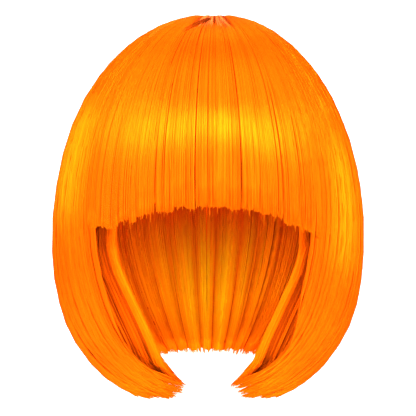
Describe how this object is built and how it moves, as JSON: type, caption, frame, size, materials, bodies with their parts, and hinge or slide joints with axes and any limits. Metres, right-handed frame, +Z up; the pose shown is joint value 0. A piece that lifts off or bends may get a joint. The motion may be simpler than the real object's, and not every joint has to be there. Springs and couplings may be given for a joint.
{
  "type": "bob wig",
  "caption": "Chin-length bob wig with a full fringe, curtains that turn in under the chin and a knitted cap, held up as a head holds it.",
  "frame": {"origin": "inside top of the cap, where the head carries the wig", "axes": "+Z up along the head, -Y the way the face looks, +X to the right seen from in front"},
  "size_m": [0.2235, 0.2347, 0.272],
  "materials": {
    "hair": "glossy synthetic fibre",
    "inner_hair": "satin synthetic fibre",
    "roots": "matt fibre roots",
    "net": "matt knitted net"
  },
  "bodies": {
    "root": {"cap": "net", "whorl": "roots", "fringe": "hair", "side_right": "hair", "side_left": "hair", "back": "hair", "nape": "inner_hair", "under_right": "inner_hair", "under_left": "inner_hair"}
  },
  "joints": []
}
